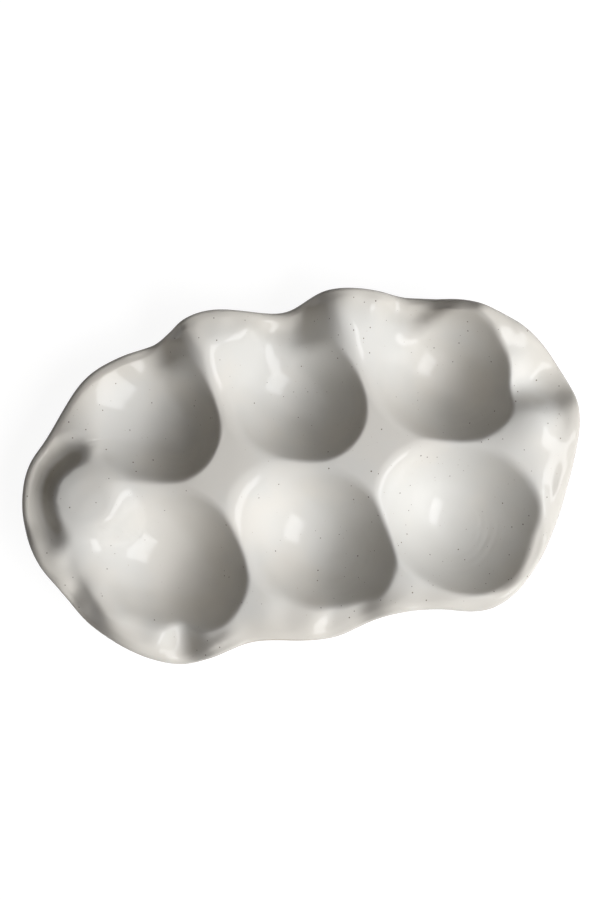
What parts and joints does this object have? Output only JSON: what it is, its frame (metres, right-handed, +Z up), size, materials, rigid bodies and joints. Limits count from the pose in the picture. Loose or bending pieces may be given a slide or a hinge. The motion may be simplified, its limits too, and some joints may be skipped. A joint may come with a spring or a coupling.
{
  "type": "deviled egg platter",
  "caption": "Hand-formed glazed stoneware platter with rounded egg wells in rows, sharp ridges between them, a wavy brim and flat bare feet.",
  "frame": {"origin": "middle of the outline, on the plane of the feet", "axes": "+X along the rows of wells, toward the end without the fold; +Y across the rows, toward the row that is far from the viewer; +Z up out of the wells"},
  "size_m": [0.2271, 0.1416, 0.0324],
  "materials": {
    "stoneware": "bare fired clay, matt",
    "glaze": "glossy warm white with sparse brown specks"
  },
  "bodies": {
    "root": {"stoneware_body": "stoneware", "glaze_coat": "glaze"}
  },
  "joints": []
}
